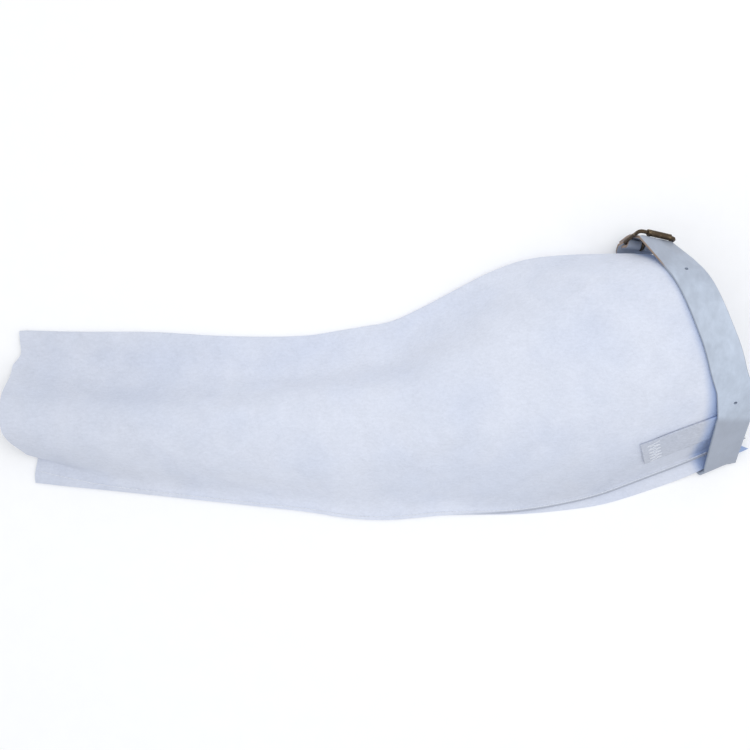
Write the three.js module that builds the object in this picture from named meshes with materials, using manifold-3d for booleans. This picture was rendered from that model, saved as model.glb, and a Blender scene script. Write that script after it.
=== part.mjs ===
// Welding sleeve: one panel of split leather, folded along the top of the arm and sewn along
// the under side, lying on a flat surface with its near layer arched. A leather strap with a
// roller buckle goes round the arm mouth, and a short tab ties the strap to the sleeve.
// Millimetres, +Z up. +X runs from the cuff to the arm mouth, and +Y is the folded edge.
import * as THREE from "three";
import * as BufferGeometryUtils from "three/addons/utils/BufferGeometryUtils.js";
import Module from "manifold-3d";

const wasm = await Module();
wasm.setup();

// Driving sizes of the sleeve
const ARM_LENGTH = 532; // cuff to mouth along the middle of the sleeve
const ARM_WIDTH = 208; // upper arm, laid flat
const CROWN_HEIGHT = 86; // top of the arched layer at its fullest section
const CUFF_TURN = 6; // degrees that the cuff's edge is turned from square
const MOUTH_TURN = 21; // degrees that the mouth's edge is turned from square
const MOUTH_LEAN = 9.5; // degrees that the mouth leans out over the floor
const LEAN_FROM = 0.55; // share of the arm's length where that lean begins
const LEATHER = 1.6; // wall
const PLY_GAP = 0.3; // between the two layers along the seam
const FOLD_RADIUS = 2.4; // outside of the bend along the folded edge
const CUFF_BULGE = 11; // how far the arched layer's rim stands past the cuff's corners
const CUFF_BULGE_REACH = 0.16; // share of the arm's length over which that bulge fades
const SEAM_TIP = 20; // the seam's corner at the mouth, past the rest of the rim
const SEAM_TIP_RISE = 0.4; // and how far that corner stands in from the seam's line
const SEAM_TIP_REACH = 0.018; // share of the arm's length over which the corner fades

// Driving sizes of the strap and its tab
const STRAP_WIDTH = 25.4;
const STRAP_THICKNESS = 2.2;
const STRAP_GAP = 0.6; // between strap and sleeve
const SEAM_SLACK = 1.5; // the strap's outer edge stands off the seam's edge by this
const STRAP_RAMP = 40; // length over which the under layer rises to pass over the strap
const RIM_HIDDEN = 5; // the mouth's rim lies this far inside the strap's outer edge
const TAB_LENGTH = 48; // from the tab's sewn end to the strap's inner edge
const TAB_WIDTH = 31;
const TAB_THICKNESS = 1.8;
const TAB_GAP = 0.8; // between tab and sleeve
const TAB_LOW = 22; // height of the tab's lower edge at its sewn end
const TAB_LOW_AT_STRAP = 31; // height of the tab's lower edge under the strap
const HOLE_RADIUS = 1.4; // punched holes in the strap

// Driving sizes of the roller buckle
const WIRE_RADIUS = 1.5;
const METAL_GAP = 0.3; // clearance of strap, roller and prong on the wire
const FRAME_WIDTH = STRAP_WIDTH + 4 * WIRE_RADIUS + 2 * METAL_GAP; // outside, along the roller
const FRAME_LENGTH = 30; // outside, across the roller
const FRAME_CORNER = 4.4; // outside radius of the corners beside the roller
const REAR_CORNER = 3.6; // outside radius of the corners beside the rear bar
const ROLLER_LENGTH = 19;
const ROLLER_SIDE = 1.1; // the roller has slid this far from the frame's middle, to the mouth
const ROLLER_RADIUS = 2.45;
const PRONG_RADIUS = 1;
const BUCKLE_OUT = 14; // the roller's middle past the folded edge, across the arm
const BUCKLE_UP = 47; // the roller's middle above the floor
const BUCKLE_ALONG = 2; // the roller's middle from the strap's plane, towards the mouth
const TURNED_END = 8; // the strap's sewn end, below the frame's rear bar
const TAIL = 13; // the strap's free end, below the frame's rear bar
const SEAM_TURN = 1.6; // inside radius of the strap's turn round the seam's edge
const FLOOR_TURN = 11; // inside radius of the strap's turn up from the floor at the fold
const FLOOR_TURN_IN = 2.1; // that turn's middle, in from the folded edge

// A row for each section of the sleeve, from the cuff to the mouth. at is a share of
// ARM_LENGTH. fold, seam, crest, ear, foot, inset and tuck are shares of ARM_WIDTH: fold, seam
// and crest are places across the arm, ear is the flat strip beside the fold, foot the flat
// strip beside the seam, inset how far the near layer's edge is set in from the seam's edge,
// and tuck how far the floor contact lies inside the fold. crown, lift and rise are shares of
// CROWN_HEIGHT: the crest's height, the fold's height, and the ear's height over the fold.
// tilt is the ear's slope in degrees. brow and shoulder say how broad the crest is on the
// fold's and the seam's side, and flare how softly the seam's side meets the floor.
const COLUMNS = [
  "at", "fold", "seam", "crest", "crown", "ear", "tuck", "lift", "rise", "tilt",
  "foot", "inset", "brow", "shoulder", "flare",
];
const SECTIONS = [
  [0.0, 0.17, -0.415, -0.16, 0.49, 0.08, 0, 0, 0, 4, 0.092, 0, 0.42, 0.6, 0.14],
  [0.05, 0.167, -0.431, -0.17, 0.5, 0.1, 0, 0, 0, 4, 0.06, 0, 0.42, 0.64, 0.2],
  [0.1, 0.167, -0.445, -0.18, 0.51, 0.12, 0, 0, 0, 4, 0.035, 0, 0.42, 0.7, 0.24],
  [0.2, 0.167, -0.476, -0.18, 0.53, 0.13, 0, 0, 0, 4, 0.026, 0, 0.42, 0.72, 0.26],
  [0.3, 0.153, -0.508, -0.18, 0.55, 0.12, 0, 0, 0, 5, 0.024, 0, 0.44, 0.73, 0.26],
  [0.38, 0.15, -0.535, -0.17, 0.58, 0.11, 0, 0, 0.005, 8, 0.024, 0, 0.46, 0.73, 0.26],
  [0.44, 0.156, -0.563, -0.16, 0.61, 0.09, 0.001, 0, 0.01, 12, 0.024, 0, 0.48, 0.73, 0.26],
  [0.49, 0.176, -0.571, -0.15, 0.64, 0.08, 0.006, 0.005, 0.01, 14, 0.024, 0, 0.5, 0.73, 0.24],
  [0.53, 0.193, -0.565, -0.13, 0.68, 0.075, 0.013, 0.01, 0.01, 16, 0.024, 0, 0.5, 0.72, 0.2],
  [0.57, 0.212, -0.556, -0.11, 0.72, 0.07, 0.021, 0.015, 0.015, 19, 0.024, 0, 0.5, 0.7, 0.16],
  [0.62, 0.264, -0.556, -0.08, 0.78, 0.06, 0.03, 0.025, 0.02, 24, 0.024, 0.002, 0.5, 0.69, 0.12],
  [0.68, 0.336, -0.556, -0.03, 0.85, 0.05, 0.045, 0.045, 0.035, 32, 0.028, 0.01, 0.5, 0.68, 0.08],
  [0.74, 0.406, -0.545, 0.01, 0.91, 0.045, 0.06, 0.08, 0.06, 42, 0.037, 0.022, 0.5, 0.67, 0.06],
  [0.8, 0.456, -0.524, 0.05, 0.96, 0.04, 0.08, 0.14, 0.09, 53, 0.051, 0.036, 0.48, 0.66, 0.06],
  [0.86, 0.471, -0.482, 0.08, 0.99, 0.037, 0.1, 0.22, 0.14, 63, 0.062, 0.046, 0.47, 0.66, 0.06],
  [0.92, 0.47, -0.43, 0.11, 1.0, 0.034, 0.12, 0.31, 0.18, 68, 0.066, 0.05, 0.46, 0.66, 0.06],
  [0.96, 0.466, -0.388, 0.13, 1.0, 0.032, 0.13, 0.35, 0.2, 70, 0.064, 0.048, 0.5, 0.7, 0.06],
  [1.0, 0.454, -0.342, 0.13, 0.99, 0.032, 0.14, 0.37, 0.2, 70, 0.058, 0.042, 0.58, 0.74, 0.06],
];
const ACROSS = ["fold", "seam", "crest", "ear", "tuck", "foot", "inset"];
const UP = ["crown", "lift", "rise"];

// The arched rim at the cuff, as shares of CUFF_BULGE. round runs from the seam's strip, 0,
// over the crest to the fold's strip, 1.
const CUFF_RIM = [
  { round: -0.05, out: 0 },
  { round: 0.02, out: -0.45 },
  { round: 0.14, out: 0.3 },
  { round: 0.45, out: 0.9 },
  { round: 0.7, out: 0.84 },
  { round: 0.92, out: 0.65 },
  { round: 1, out: 0 },
];
const CUFF_UNDER = -0.55; // the layer on the floor stands back by this share

// The strap's plane: where it lies along the arm, and how its middle drifts towards the mouth
// on its way round. angle is the direction that the strap faces, in degrees from the fold's
// side, counted downwards: 90 is the floor, 180 the seam's side and 270 the top.
const STRAP_AT = 1 - (STRAP_WIDTH / 2 - RIM_HIDDEN) / turnCosine(1) / ARM_LENGTH;
const DRIFT = [
  { angle: 0, along: -5 },
  { angle: 90, along: -2.5 },
  { angle: 195, along: -2.5 },
  { angle: 225, along: 1.5 },
  { angle: 250, along: -3 },
  { angle: 280, along: -3.5 },
  { angle: 310, along: -3.5 },
];
// Where the strap's two plain holes are, as shares of its length from the buckle's end
const PUNCHED = [0.88, 0.716];

const GRID = { flange: 1, wall: 9, brow: 8, ear: 5, bend: 4, floor: 7 };
const FINE = { flange: 1, wall: 60, brow: 40, ear: 8, bend: 12, floor: 2 };
const NOSE = 0.6; // share of the ear's points that are on the bend of the fold
const STATIONS = 30; // from the cuff to the tab
const MOUTH_STATIONS = 8; // from the tab to the rim
const STRAP_TURN = 6; // degrees between the strap's points round the arm
const STRAP_SPAN = 12; // longest gap between those points
const STRAP_STEPS = 110;
const STRAP_COLUMNS = [-0.5, 0, 0.5]; // shares of the strap's width
const FRAME_STEPS = 60;
const PRONG_STEPS = 26;
const WIRE_SIDES = 8;

function turnCosine(at) {
  return Math.cos(THREE.MathUtils.degToRad(turn(at)));
}

function turn(at) {
  return THREE.MathUtils.lerp(CUFF_TURN, MOUTH_TURN, at);
}

// Eased from 0 to 1 as x goes from one value to another, whichever is larger
function smooth(from, to, x) {
  const t = THREE.MathUtils.clamp((x - from) / (to - from), 0, 1);
  return t * t * (3 - 2 * t);
}

// A value from a short table, eased between its rows and steady past its ends
function eased(table, by, value, x) {
  const k = table.findIndex((row) => row[by] > x);
  if (k < 0) return table[table.length - 1][value];
  if (k === 0) return table[0][value];
  const [from, to] = [table[k - 1], table[k]];
  return from[value] + (to[value] - from[value]) * smooth(from[by], to[by], x);
}

// One value of the section table at a share of the length, on a curve through its rows
function tableValue(column, at) {
  const last = SECTIONS.length - 1;
  const place = THREE.MathUtils.clamp(at, 0, 1);
  let k = SECTIONS.findIndex((row) => row[0] > place);
  k = k < 0 ? last : k;
  const rows = [Math.max(k - 2, 0), k - 1, k, Math.min(k + 1, last)].map((i) => SECTIONS[i]);
  const [before, from, to, after] = rows;
  const span = to[0] - from[0];
  const t = (place - from[0]) / span;
  const startSlope = ((to[column] - before[column]) / (to[0] - before[0])) * span;
  const endSlope = ((after[column] - from[column]) / (after[0] - from[0])) * span;
  return (
    from[column] * (1 + 2 * t) * (1 - t) ** 2 + startSlope * t * (1 - t) ** 2 +
    to[column] * t * t * (3 - 2 * t) + endSlope * t * t * (t - 1)
  );
}

// The named sizes of the section at a share of the length, in millimetres
function sectionSizes(at) {
  const sizes = {};
  COLUMNS.forEach((name, column) => {
    const scale = ACROSS.includes(name) ? ARM_WIDTH : UP.includes(name) ? CROWN_HEIGHT : 1;
    sizes[name] = tableValue(column, at) * scale;
  });
  return sizes;
}

// How far the section is raised to let the strap pass between it and the floor
function strapLift(at) {
  const away = (STRAP_AT - at) * ARM_LENGTH * turnCosine(at) - STRAP_WIDTH / 2;
  return (STRAP_THICKNESS + STRAP_GAP) * smooth(STRAP_RAMP, LEATHER, away);
}

function bezier(start, startHandle, endHandle, end, steps) {
  const curve = new THREE.CubicBezierCurve(start, startHandle, endHandle, end);
  return curve.getPoints(steps).slice(1);
}

// Outer side of the leather in the section's plane: x is across the arm, y is up. It starts at
// the near layer's seam edge, goes over the crest to the fold and back along the floor.
function sectionOutline(at, counts) {
  const s = sectionSizes(at);
  const base = strapLift(at);
  const point = (across, up) => new THREE.Vector2(across, up + base);
  const plies = 2 * LEATHER + PLY_GAP;
  const edge = point(s.seam + s.inset, plies);
  const foot = point(s.seam + s.foot, plies);
  const crest = point(s.crest, s.crown);
  const foldUp = FOLD_RADIUS + s.lift;
  const ear = point(s.fold - s.ear, foldUp + FOLD_RADIUS + s.rise);
  const fold = point(s.fold, foldUp);
  const contact = point(s.fold - s.tuck - FOLD_RADIUS, 0);
  const slope = THREE.MathUtils.degToRad(s.tilt);
  const inward = new THREE.Vector2(-Math.cos(slope), Math.sin(slope));
  const wallSpan = crest.x - foot.x;
  const browSpan = ear.distanceTo(crest);
  const earSpan = ear.distanceTo(fold);
  const offset = (from, x, y) => new THREE.Vector2(from.x + x, from.y + y);
  const bend = 0.55; // handle share that makes a quarter bend round
  const nosePoints = Math.round(NOSE * counts.ear);
  const nose = Array.from({ length: nosePoints + 1 }, (_, i) => {
    const angle = (Math.PI / 2 - slope) * (1 - i / nosePoints);
    return offset(fold, FOLD_RADIUS * (Math.cos(angle) - 1), FOLD_RADIUS * Math.sin(angle));
  });
  const points = [edge];
  for (let i = 1; i <= counts.flange; i += 1) {
    points.push(edge.clone().lerp(foot, i / counts.flange));
  }
  points.push(
    ...bezier(
      foot, offset(foot, s.flare * wallSpan, 0), offset(crest, -s.shoulder * wallSpan, 0), crest,
      counts.wall,
    ),
    ...bezier(
      crest, offset(crest, s.brow * browSpan, 0),
      ear.clone().addScaledVector(inward, 0.42 * browSpan), ear, counts.brow,
    ),
    ...bezier(
      ear, ear.clone().addScaledVector(inward, -0.3 * earSpan),
      nose[0].clone().addScaledVector(inward, 0.3 * earSpan), nose[0], counts.ear - nosePoints,
    ),
    ...nose.slice(1),
    ...bezier(
      fold, offset(fold, 0, -bend * foldUp), offset(contact, bend * (fold.x - contact.x), 0),
      contact, counts.bend,
    ),
  );
  const seam = point(s.seam, 0);
  for (let i = 1; i <= counts.floor; i += 1) {
    points.push(contact.clone().lerp(seam, i / counts.floor));
  }
  return points;
}

// Unit directions that point out of an outline, at its points
function outward(points) {
  return points.map((point, i) => {
    const next = points[Math.min(i + 1, points.length - 1)];
    const before = points[Math.max(i - 1, 0)];
    const ahead = next.clone().sub(point).normalize();
    const along = point.clone().sub(before).normalize().add(ahead).normalize();
    return new THREE.Vector2(-along.y, along.x);
  });
}

// A place in the section's plane, as a place of the part
function place(at, across, up, along = 0) {
  const angle = THREE.MathUtils.degToRad(turn(at));
  const middle = (at - 0.5) * ARM_LENGTH;
  const lean = Math.tan(THREE.MathUtils.degToRad(MOUTH_LEAN)) * smooth(LEAN_FROM, 1, at);
  const outAlong = along + lean * up;
  return new THREE.Vector3(
    middle - across * Math.sin(angle) + outAlong * Math.cos(angle),
    across * Math.cos(angle) + outAlong * Math.sin(angle),
    up,
  );
}

// How far the panel's edge stands out along the arm: the cuff's bulge and the seam's corner
function rimShift(at, index) {
  const ear = GRID.flange + GRID.wall + GRID.brow;
  const fold = ear + GRID.ear;
  const last = fold + GRID.bend + GRID.floor;
  const round = (index - GRID.flange) / (ear - GRID.flange);
  const back = (index - fold) / (last - fold);
  const under = CUFF_UNDER * smooth(0, 0.1, back) * smooth(1, 0.92, back);
  const rim = index > fold ? under : eased(CUFF_RIM, "round", "out", round);
  return -CUFF_BULGE * rim * smooth(CUFF_BULGE_REACH, 0, at);
}

// Share of the seam corner's reach that a point of the panel's rim takes
function seamCorner(at, index) {
  const last = GRID.flange + GRID.wall + GRID.brow + GRID.ear + GRID.bend + GRID.floor;
  const near = smooth(GRID.flange + 2, 0, index);
  return Math.max(near, index === last ? 1 : 0) * smooth(1 - SEAM_TIP_REACH, 1, at);
}

// Closed body between two grids of points that face each other across a wall
function slab(outer, inner) {
  const rows = outer.length;
  const columns = outer[0].length;
  const positions = [];
  [outer, inner].forEach((grid) => grid.flat().forEach((p) => positions.push(p.x, p.y, p.z)));
  const index = [];
  const top = (i, j) => i * columns + j;
  const under = (i, j) => rows * columns + i * columns + j;
  const quad = (a, b, c, d) => index.push(a, b, c, a, c, d);
  for (let i = 0; i < rows - 1; i += 1) {
    for (let j = 0; j < columns - 1; j += 1) {
      quad(top(i, j), top(i + 1, j), top(i + 1, j + 1), top(i, j + 1));
      quad(under(i, j), under(i, j + 1), under(i + 1, j + 1), under(i + 1, j));
    }
    quad(top(i, 0), under(i, 0), under(i + 1, 0), top(i + 1, 0));
    const last = columns - 1;
    quad(top(i, last), top(i + 1, last), under(i + 1, last), under(i, last));
  }
  for (let j = 0; j < columns - 1; j += 1) {
    quad(top(0, j), top(0, j + 1), under(0, j + 1), under(0, j));
    const last = rows - 1;
    quad(top(last, j), under(last, j), under(last, j + 1), top(last, j + 1));
  }
  const geometry = new THREE.BufferGeometry();
  geometry.setAttribute("position", new THREE.Float32BufferAttribute(positions, 3));
  geometry.setIndex(signedVolume(positions, index) < 0 ? index.reverse() : index);
  return geometry;
}

function signedVolume(positions, index) {
  let volume = 0;
  for (let i = 0; i < index.length; i += 3) {
    const corners = index.slice(i, i + 3).map((k) => new THREE.Vector3().fromArray(positions, 3 * k));
    volume += corners[0].dot(corners[1].cross(corners[2])) / 6;
  }
  return volume;
}

function tabStart() {
  return STRAP_AT - (STRAP_WIDTH / 2 + TAB_LENGTH) / turnCosine(1) / ARM_LENGTH;
}

// Shares of the arm's length where the panel has a row of points
function stations() {
  const shares = [];
  const from = tabStart();
  for (let i = 0; i < STATIONS; i += 1) {
    shares.push((from * i) / STATIONS);
  }
  for (let i = 0; i <= MOUTH_STATIONS; i += 1) {
    shares.push(from + ((1 - from) * i) / MOUTH_STATIONS);
  }
  return shares;
}

function sleevePanel() {
  const outer = [];
  const inner = [];
  stations().forEach((at) => {
    const outline = sectionOutline(at, GRID);
    const out = outward(outline);
    const row = (depth) =>
      outline.map((p, j) => {
        const corner = seamCorner(at, j);
        const across = p.x - depth * out[j].x + SEAM_TIP_RISE * corner;
        return place(at, across, p.y - depth * out[j].y, rimShift(at, j) + SEAM_TIP * corner);
      });
    outer.push(row(0));
    inner.push(row(LEATHER));
  });
  return slab(outer, inner);
}

// The tab's own outline in a section: points on the near layer between two heights
function tabOutline(at, distance) {
  const outline = sectionOutline(at, GRID);
  const out = outward(outline);
  const wall = outline.slice(0, GRID.flange + GRID.wall + 1);
  const share = smooth(tabStart(), STRAP_AT, at);
  const low = THREE.MathUtils.lerp(TAB_LOW, TAB_LOW_AT_STRAP, share);
  const first = Math.max(wall.findIndex((p) => p.y > low), 1);
  const step = (low - wall[first - 1].y) / (wall[first].y - wall[first - 1].y);
  const points = [];
  const normals = [];
  const add = (i, t) => {
    points.push(wall[i - 1].clone().lerp(wall[i], t));
    normals.push(out[i - 1].clone().lerp(out[i], t).normalize());
  };
  add(first, step);
  let left = TAB_WIDTH;
  const stops = [0.25, 0.5, 0.75, 1];
  let here = 0;
  let i = first;
  let t = step;
  while (here < stops.length && i < wall.length) {
    const length = wall[i].distanceTo(wall[i - 1]);
    const need = TAB_WIDTH * stops[here] - (TAB_WIDTH - left);
    if ((1 - t) * length >= need) {
      t += need / length;
      left -= need;
      add(i, t);
      here += 1;
    } else {
      left -= (1 - t) * length;
      i += 1;
      t = 0;
    }
  }
  return points.map((p, k) => p.clone().addScaledVector(normals[k], distance));
}

function strapTab() {
  const end = STRAP_AT + (STRAP_WIDTH / 2 - 1) / turnCosine(1) / ARM_LENGTH;
  const shares = stations().filter((at) => at >= tabStart() && at < end);
  shares.push(end);
  const grid = (distance) =>
    shares.map((at) => tabOutline(at, distance).map((p) => place(at, p.x, p.y)));
  return slab(grid(TAB_GAP + TAB_THICKNESS), grid(TAB_GAP));
}

// Convex outline of points in the section's plane, counterclockwise
function hull(points) {
  const sorted = [...points].sort((a, b) => a.x - b.x || a.y - b.y);
  const chain = (list) => {
    const kept = [];
    list.forEach((p) => {
      while (kept.length > 1) {
        const [a, b] = kept.slice(-2);
        if ((b.x - a.x) * (p.y - a.y) - (b.y - a.y) * (p.x - a.x) > 0) break;
        kept.pop();
      }
      kept.push(p);
    });
    return kept.slice(0, -1);
  };
  return [...chain(sorted), ...chain(sorted.reverse())];
}

// The buckle's own axes: across runs along the roller, down from the roller to the rear bar,
// and out away from the arm
function buckleAxes() {
  const ring = (out, along, up) => {
    const from = place(STRAP_AT, 0, 0);
    return place(STRAP_AT, out, up, along).sub(from);
  };
  const across = ring(-0.5, 0.84, -0.18).normalize();
  const down = ring(-0.2, 0.02, -0.93);
  down.addScaledVector(across, -down.dot(across)).normalize();
  const out = new THREE.Vector3().crossVectors(across, down).negate();
  if (out.dot(ring(1, 0, 0)) < 0) out.negate();
  const past = sectionSizes(STRAP_AT).fold + BUCKLE_OUT;
  const roller = place(STRAP_AT, past, BUCKLE_UP, BUCKLE_ALONG);
  return { origin: roller.addScaledVector(across, -ROLLER_SIDE), across, down, out };
}
const buckle = buckleAxes();
const BAR_DOWN = FRAME_LENGTH - 2 * WIRE_RADIUS; // from the roller's middle to the rear bar's

function atBuckle(across, down, out) {
  return buckle.origin
    .clone()
    .addScaledVector(buckle.across, across)
    .addScaledVector(buckle.down, down)
    .addScaledVector(buckle.out, out);
}

// A place of the part, as a point in the section's plane
function inSection(at, point) {
  const across = place(at, 1, 0).sub(place(at, 0, 0));
  return new THREE.Vector2(point.clone().sub(place(at, 0, 0)).dot(across), point.z);
}

// Where the strap stands off the sleeve: the place where it leaves for the buckle, its turned
// end, its slack at the seam's edge, and a round turn up from the floor at the fold's side
function standOff(share, side) {
  const under = ROLLER_RADIUS + METAL_GAP + STRAP_THICKNESS + STRAP_GAP;
  const high = inSection(share, atBuckle(side, -1, -under));
  const { seam } = sectionSizes(share);
  const turnOut = sectionSizes(STRAP_AT).fold - FLOOR_TURN_IN;
  const slack = STRAP_GAP + SEAM_SLACK * (side / STRAP_WIDTH + 0.5);
  const turned = inSection(share, atBuckle(side, BAR_DOWN + TURNED_END, STRAP_THICKNESS / 4));
  return [
    high, turned,
    ...turnPoints(turnOut, FLOOR_TURN, 0, 90),
    ...turnPoints(seam - slack + SEAM_TURN, SEAM_TURN, 90, 210),
  ];
}

// Points on a round turn of the strap off the floor, between two of the directions it faces
function turnPoints(across, radius, from, to) {
  const middle = new THREE.Vector2(across, STRAP_THICKNESS + STRAP_GAP + radius);
  return Array.from({ length: (to - from) / 15 + 1 }, (_, k) => {
    const facing = THREE.MathUtils.degToRad(-(from + 15 * k));
    const spoke = new THREE.Vector2(Math.cos(facing), Math.sin(facing));
    return middle.clone().addScaledVector(spoke, radius);
  });
}

// Places of the strap at one share of its width, from its turned end at the rear bar, round
// the arm, and back through the buckle to its tail
function strapPlaces(column) {
  const side = column * STRAP_WIDTH;
  const half = STRAP_THICKNESS / 2;
  const wrap = WIRE_RADIUS + METAL_GAP + half;
  const ply = STRAP_THICKNESS + METAL_GAP;
  const fromBar = (down, out) => atBuckle(side, BAR_DOWN + down, out);
  const line = [fromBar(TURNED_END, -half / 2), fromBar(TURNED_END / 2, -half)];
  for (let angle = 180; angle >= 0; angle -= 36) {
    const turned = THREE.MathUtils.degToRad(angle);
    line.push(fromBar(-wrap * Math.sin(turned), wrap * Math.cos(turned)));
  }
  line.push(fromBar(TURNED_END / 2, wrap));
  for (let angle = 10; angle <= 320; angle += STRAP_TURN) {
    const facing = THREE.MathUtils.degToRad(-angle);
    const direction = new THREE.Vector2(Math.cos(facing), Math.sin(facing));
    const share = STRAP_AT + (side + eased(DRIFT, "angle", "along", angle)) / turnCosine(1) / ARM_LENGTH;
    const under = [...sectionOutline(share, FINE), ...tabOutline(share, TAB_GAP + TAB_THICKNESS)];
    const around = hull([...under, ...standOff(share, side)]);
    const reached = around.reduce((best, p) => (p.dot(direction) > best.dot(direction) ? p : best));
    const middle = reached.clone().addScaledVector(direction, STRAP_GAP + half);
    line.push(place(share, middle.x, middle.y));
  }
  const underRoller = -(ROLLER_RADIUS + 2 * METAL_GAP + half);
  const overWrap = wrap + ply;
  line.push(atBuckle(side, 0, underRoller), atBuckle(side, 6, underRoller * 0.6));
  line.push(atBuckle(side, BAR_DOWN - 7, overWrap * 0.75));
  line.push(fromBar(0, overWrap), fromBar(TAIL / 2, overWrap), fromBar(TAIL, overWrap));
  return line;
}

// The strap's middle line there, with more points wherever they are far apart
function strapLine(column) {
  const line = strapPlaces(column);
  const middle = strapPlaces(0);
  const points = line.flatMap((p, i) => {
    if (i === 0) return [p];
    const parts = Math.ceil(middle[i].distanceTo(middle[i - 1]) / STRAP_SPAN);
    return Array.from({ length: parts }, (_, k) => line[i - 1].clone().lerp(p, (k + 1) / parts));
  });
  return new THREE.CatmullRomCurve3(points, false, "centripetal");
}

function strapBand() {
  const lines = STRAP_COLUMNS.map((column) => strapLine(column).getPoints(STRAP_STEPS));
  const outer = [];
  const inner = [];
  for (let i = 0; i <= STRAP_STEPS; i += 1) {
    const row = lines.map((line) => line[i]);
    const across = row[row.length - 1].clone().sub(row[0]);
    const normals = lines.map((line) => {
      const along = line[Math.min(i + 1, STRAP_STEPS)].clone().sub(line[Math.max(i - 1, 0)]);
      return across.clone().cross(along).normalize();
    });
    const side = (distance) =>
      row.map((p, k) => {
        const moved = p.clone().addScaledVector(normals[k], distance);
        moved.z = Math.max(moved.z, distance > 0 ? 0 : STRAP_THICKNESS);
        return moved;
      });
    outer.push(side(STRAP_THICKNESS / 2));
    inner.push(side(-STRAP_THICKNESS / 2));
  }
  return slab(outer, inner);
}

function buckleFrame() {
  const side = FRAME_WIDTH / 2 - WIRE_RADIUS;
  const front = FRAME_CORNER - WIRE_RADIUS;
  const rear = REAR_CORNER - WIRE_RADIUS;
  const loop = new THREE.Path();
  loop.moveTo(front - side, 0).lineTo(side - front, 0);
  loop.absarc(side - front, front, front, -Math.PI / 2, 0);
  loop.absarc(side - rear, BAR_DOWN - rear, rear, 0, Math.PI / 2);
  loop.absarc(rear - side, BAR_DOWN - rear, rear, Math.PI / 2, Math.PI);
  loop.absarc(front - side, front, front, Math.PI, 1.5 * Math.PI);
  const points = loop.getSpacedPoints(FRAME_STEPS).slice(0, -1);
  const curve = new THREE.CatmullRomCurve3(points.map((p) => atBuckle(p.x, p.y, 0)), true);
  return new THREE.TubeGeometry(curve, FRAME_STEPS, WIRE_RADIUS, WIRE_SIDES, true);
}

function buckleRoller() {
  const bore = WIRE_RADIUS + METAL_GAP;
  const end = ROLLER_LENGTH / 2;
  const profile = [[bore, -end], [ROLLER_RADIUS, -end], [ROLLER_RADIUS, end], [bore, end], [bore, -end]];
  const ring = new THREE.LatheGeometry(profile.map(([x, y]) => new THREE.Vector2(x, y)), 2 * WIRE_SIDES);
  const axes = new THREE.Matrix4().makeBasis(buckle.down, buckle.across, buckle.down.clone().cross(buckle.across));
  return ring.applyMatrix4(axes.setPosition(atBuckle(ROLLER_SIDE, 0, 0)));
}

// The prong hooks round the rear bar, passes out through the strap and leans on the roller
function buckleProng() {
  const eye = WIRE_RADIUS + METAL_GAP + PRONG_RADIUS;
  const seat = ROLLER_RADIUS + 1.5 * METAL_GAP + PRONG_RADIUS;
  const line = [];
  for (let angle = -60; angle >= -240; angle -= 30) {
    const turned = THREE.MathUtils.degToRad(angle);
    line.push(atBuckle(0, BAR_DOWN - eye * Math.sin(turned), eye * Math.cos(turned)));
  }
  line.push(atBuckle(0, BAR_DOWN * 0.78, seat), atBuckle(0, BAR_DOWN * 0.3, seat * 0.96));
  line.push(atBuckle(0, seat * 0.68, seat * 0.62));
  const path = new THREE.CatmullRomCurve3(line, false, "centripetal");
  const round = new THREE.Shape().absarc(0, 0, PRONG_RADIUS, 0, 2 * Math.PI);
  return new THREE.ExtrudeGeometry(round, {
    extrudePath: path, steps: PRONG_STEPS, curveSegments: WIRE_SIDES / 2, bevelEnabled: false,
  });
}

// A closed mesh with its corners merged, as a solid that can be cut
function solid(geometry) {
  const bare = geometry.clone();
  bare.deleteAttribute("normal");
  bare.deleteAttribute("uv");
  const merged = BufferGeometryUtils.mergeVertices(bare, 1e-3);
  return new wasm.Manifold(
    new wasm.Mesh({
      numProp: 3,
      vertProperties: new Float32Array(merged.attributes.position.array),
      triVerts: new Uint32Array(merged.index.array),
    }),
  );
}

function meshOf(manifold) {
  const { vertProperties, triVerts } = manifold.getMesh();
  const geometry = new THREE.BufferGeometry();
  geometry.setAttribute("position", new THREE.BufferAttribute(vertProperties, 3));
  geometry.setIndex(new THREE.BufferAttribute(triVerts, 1));
  return geometry;
}

// The strap with its punched holes, the slot for the prong's eye and the hole for the prong
function armStrap() {
  const middle = strapLine(0);
  const edge = strapLine(0.5);
  const cutters = PUNCHED.map((share) => {
    const at = middle.getPoint(share);
    const along = middle.getTangent(share);
    const across = edge.getPoint(share).sub(at).normalize();
    const axes = new THREE.Matrix4().makeBasis(along, across.clone().cross(along), across);
    const drill = new THREE.CylinderGeometry(HOLE_RADIUS, HOLE_RADIUS, 3 * STRAP_THICKNESS, WIRE_SIDES);
    return drill.applyMatrix4(axes.setPosition(at));
  });
  const eye = WIRE_RADIUS + METAL_GAP + 2 * PRONG_RADIUS;
  const slotWidth = 2 * (PRONG_RADIUS + 2 * METAL_GAP);
  const ply = WIRE_RADIUS + METAL_GAP + STRAP_THICKNESS;
  const box = (low, high, inside, outside) => {
    const size = new THREE.BoxGeometry(slotWidth, high - low, outside - inside);
    const axes = new THREE.Matrix4().makeBasis(buckle.across, buckle.down, buckle.across.clone().cross(buckle.down));
    const side = buckle.across.clone().cross(buckle.down).dot(buckle.out);
    const middleOut = (side * side * (inside + outside)) / 2;
    return size.applyMatrix4(axes.setPosition(atBuckle(0, (low + high) / 2, middleOut)));
  };
  cutters.push(box(BAR_DOWN - ply - 1, BAR_DOWN + eye + 1, -ply - 1, ply + METAL_GAP / 2));
  cutters.push(box(BAR_DOWN * 0.55, BAR_DOWN * 0.9, -4, 7));
  return meshOf(cutters.reduce((body, cutter) => body.subtract(solid(cutter)), solid(strapBand())));
}

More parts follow.
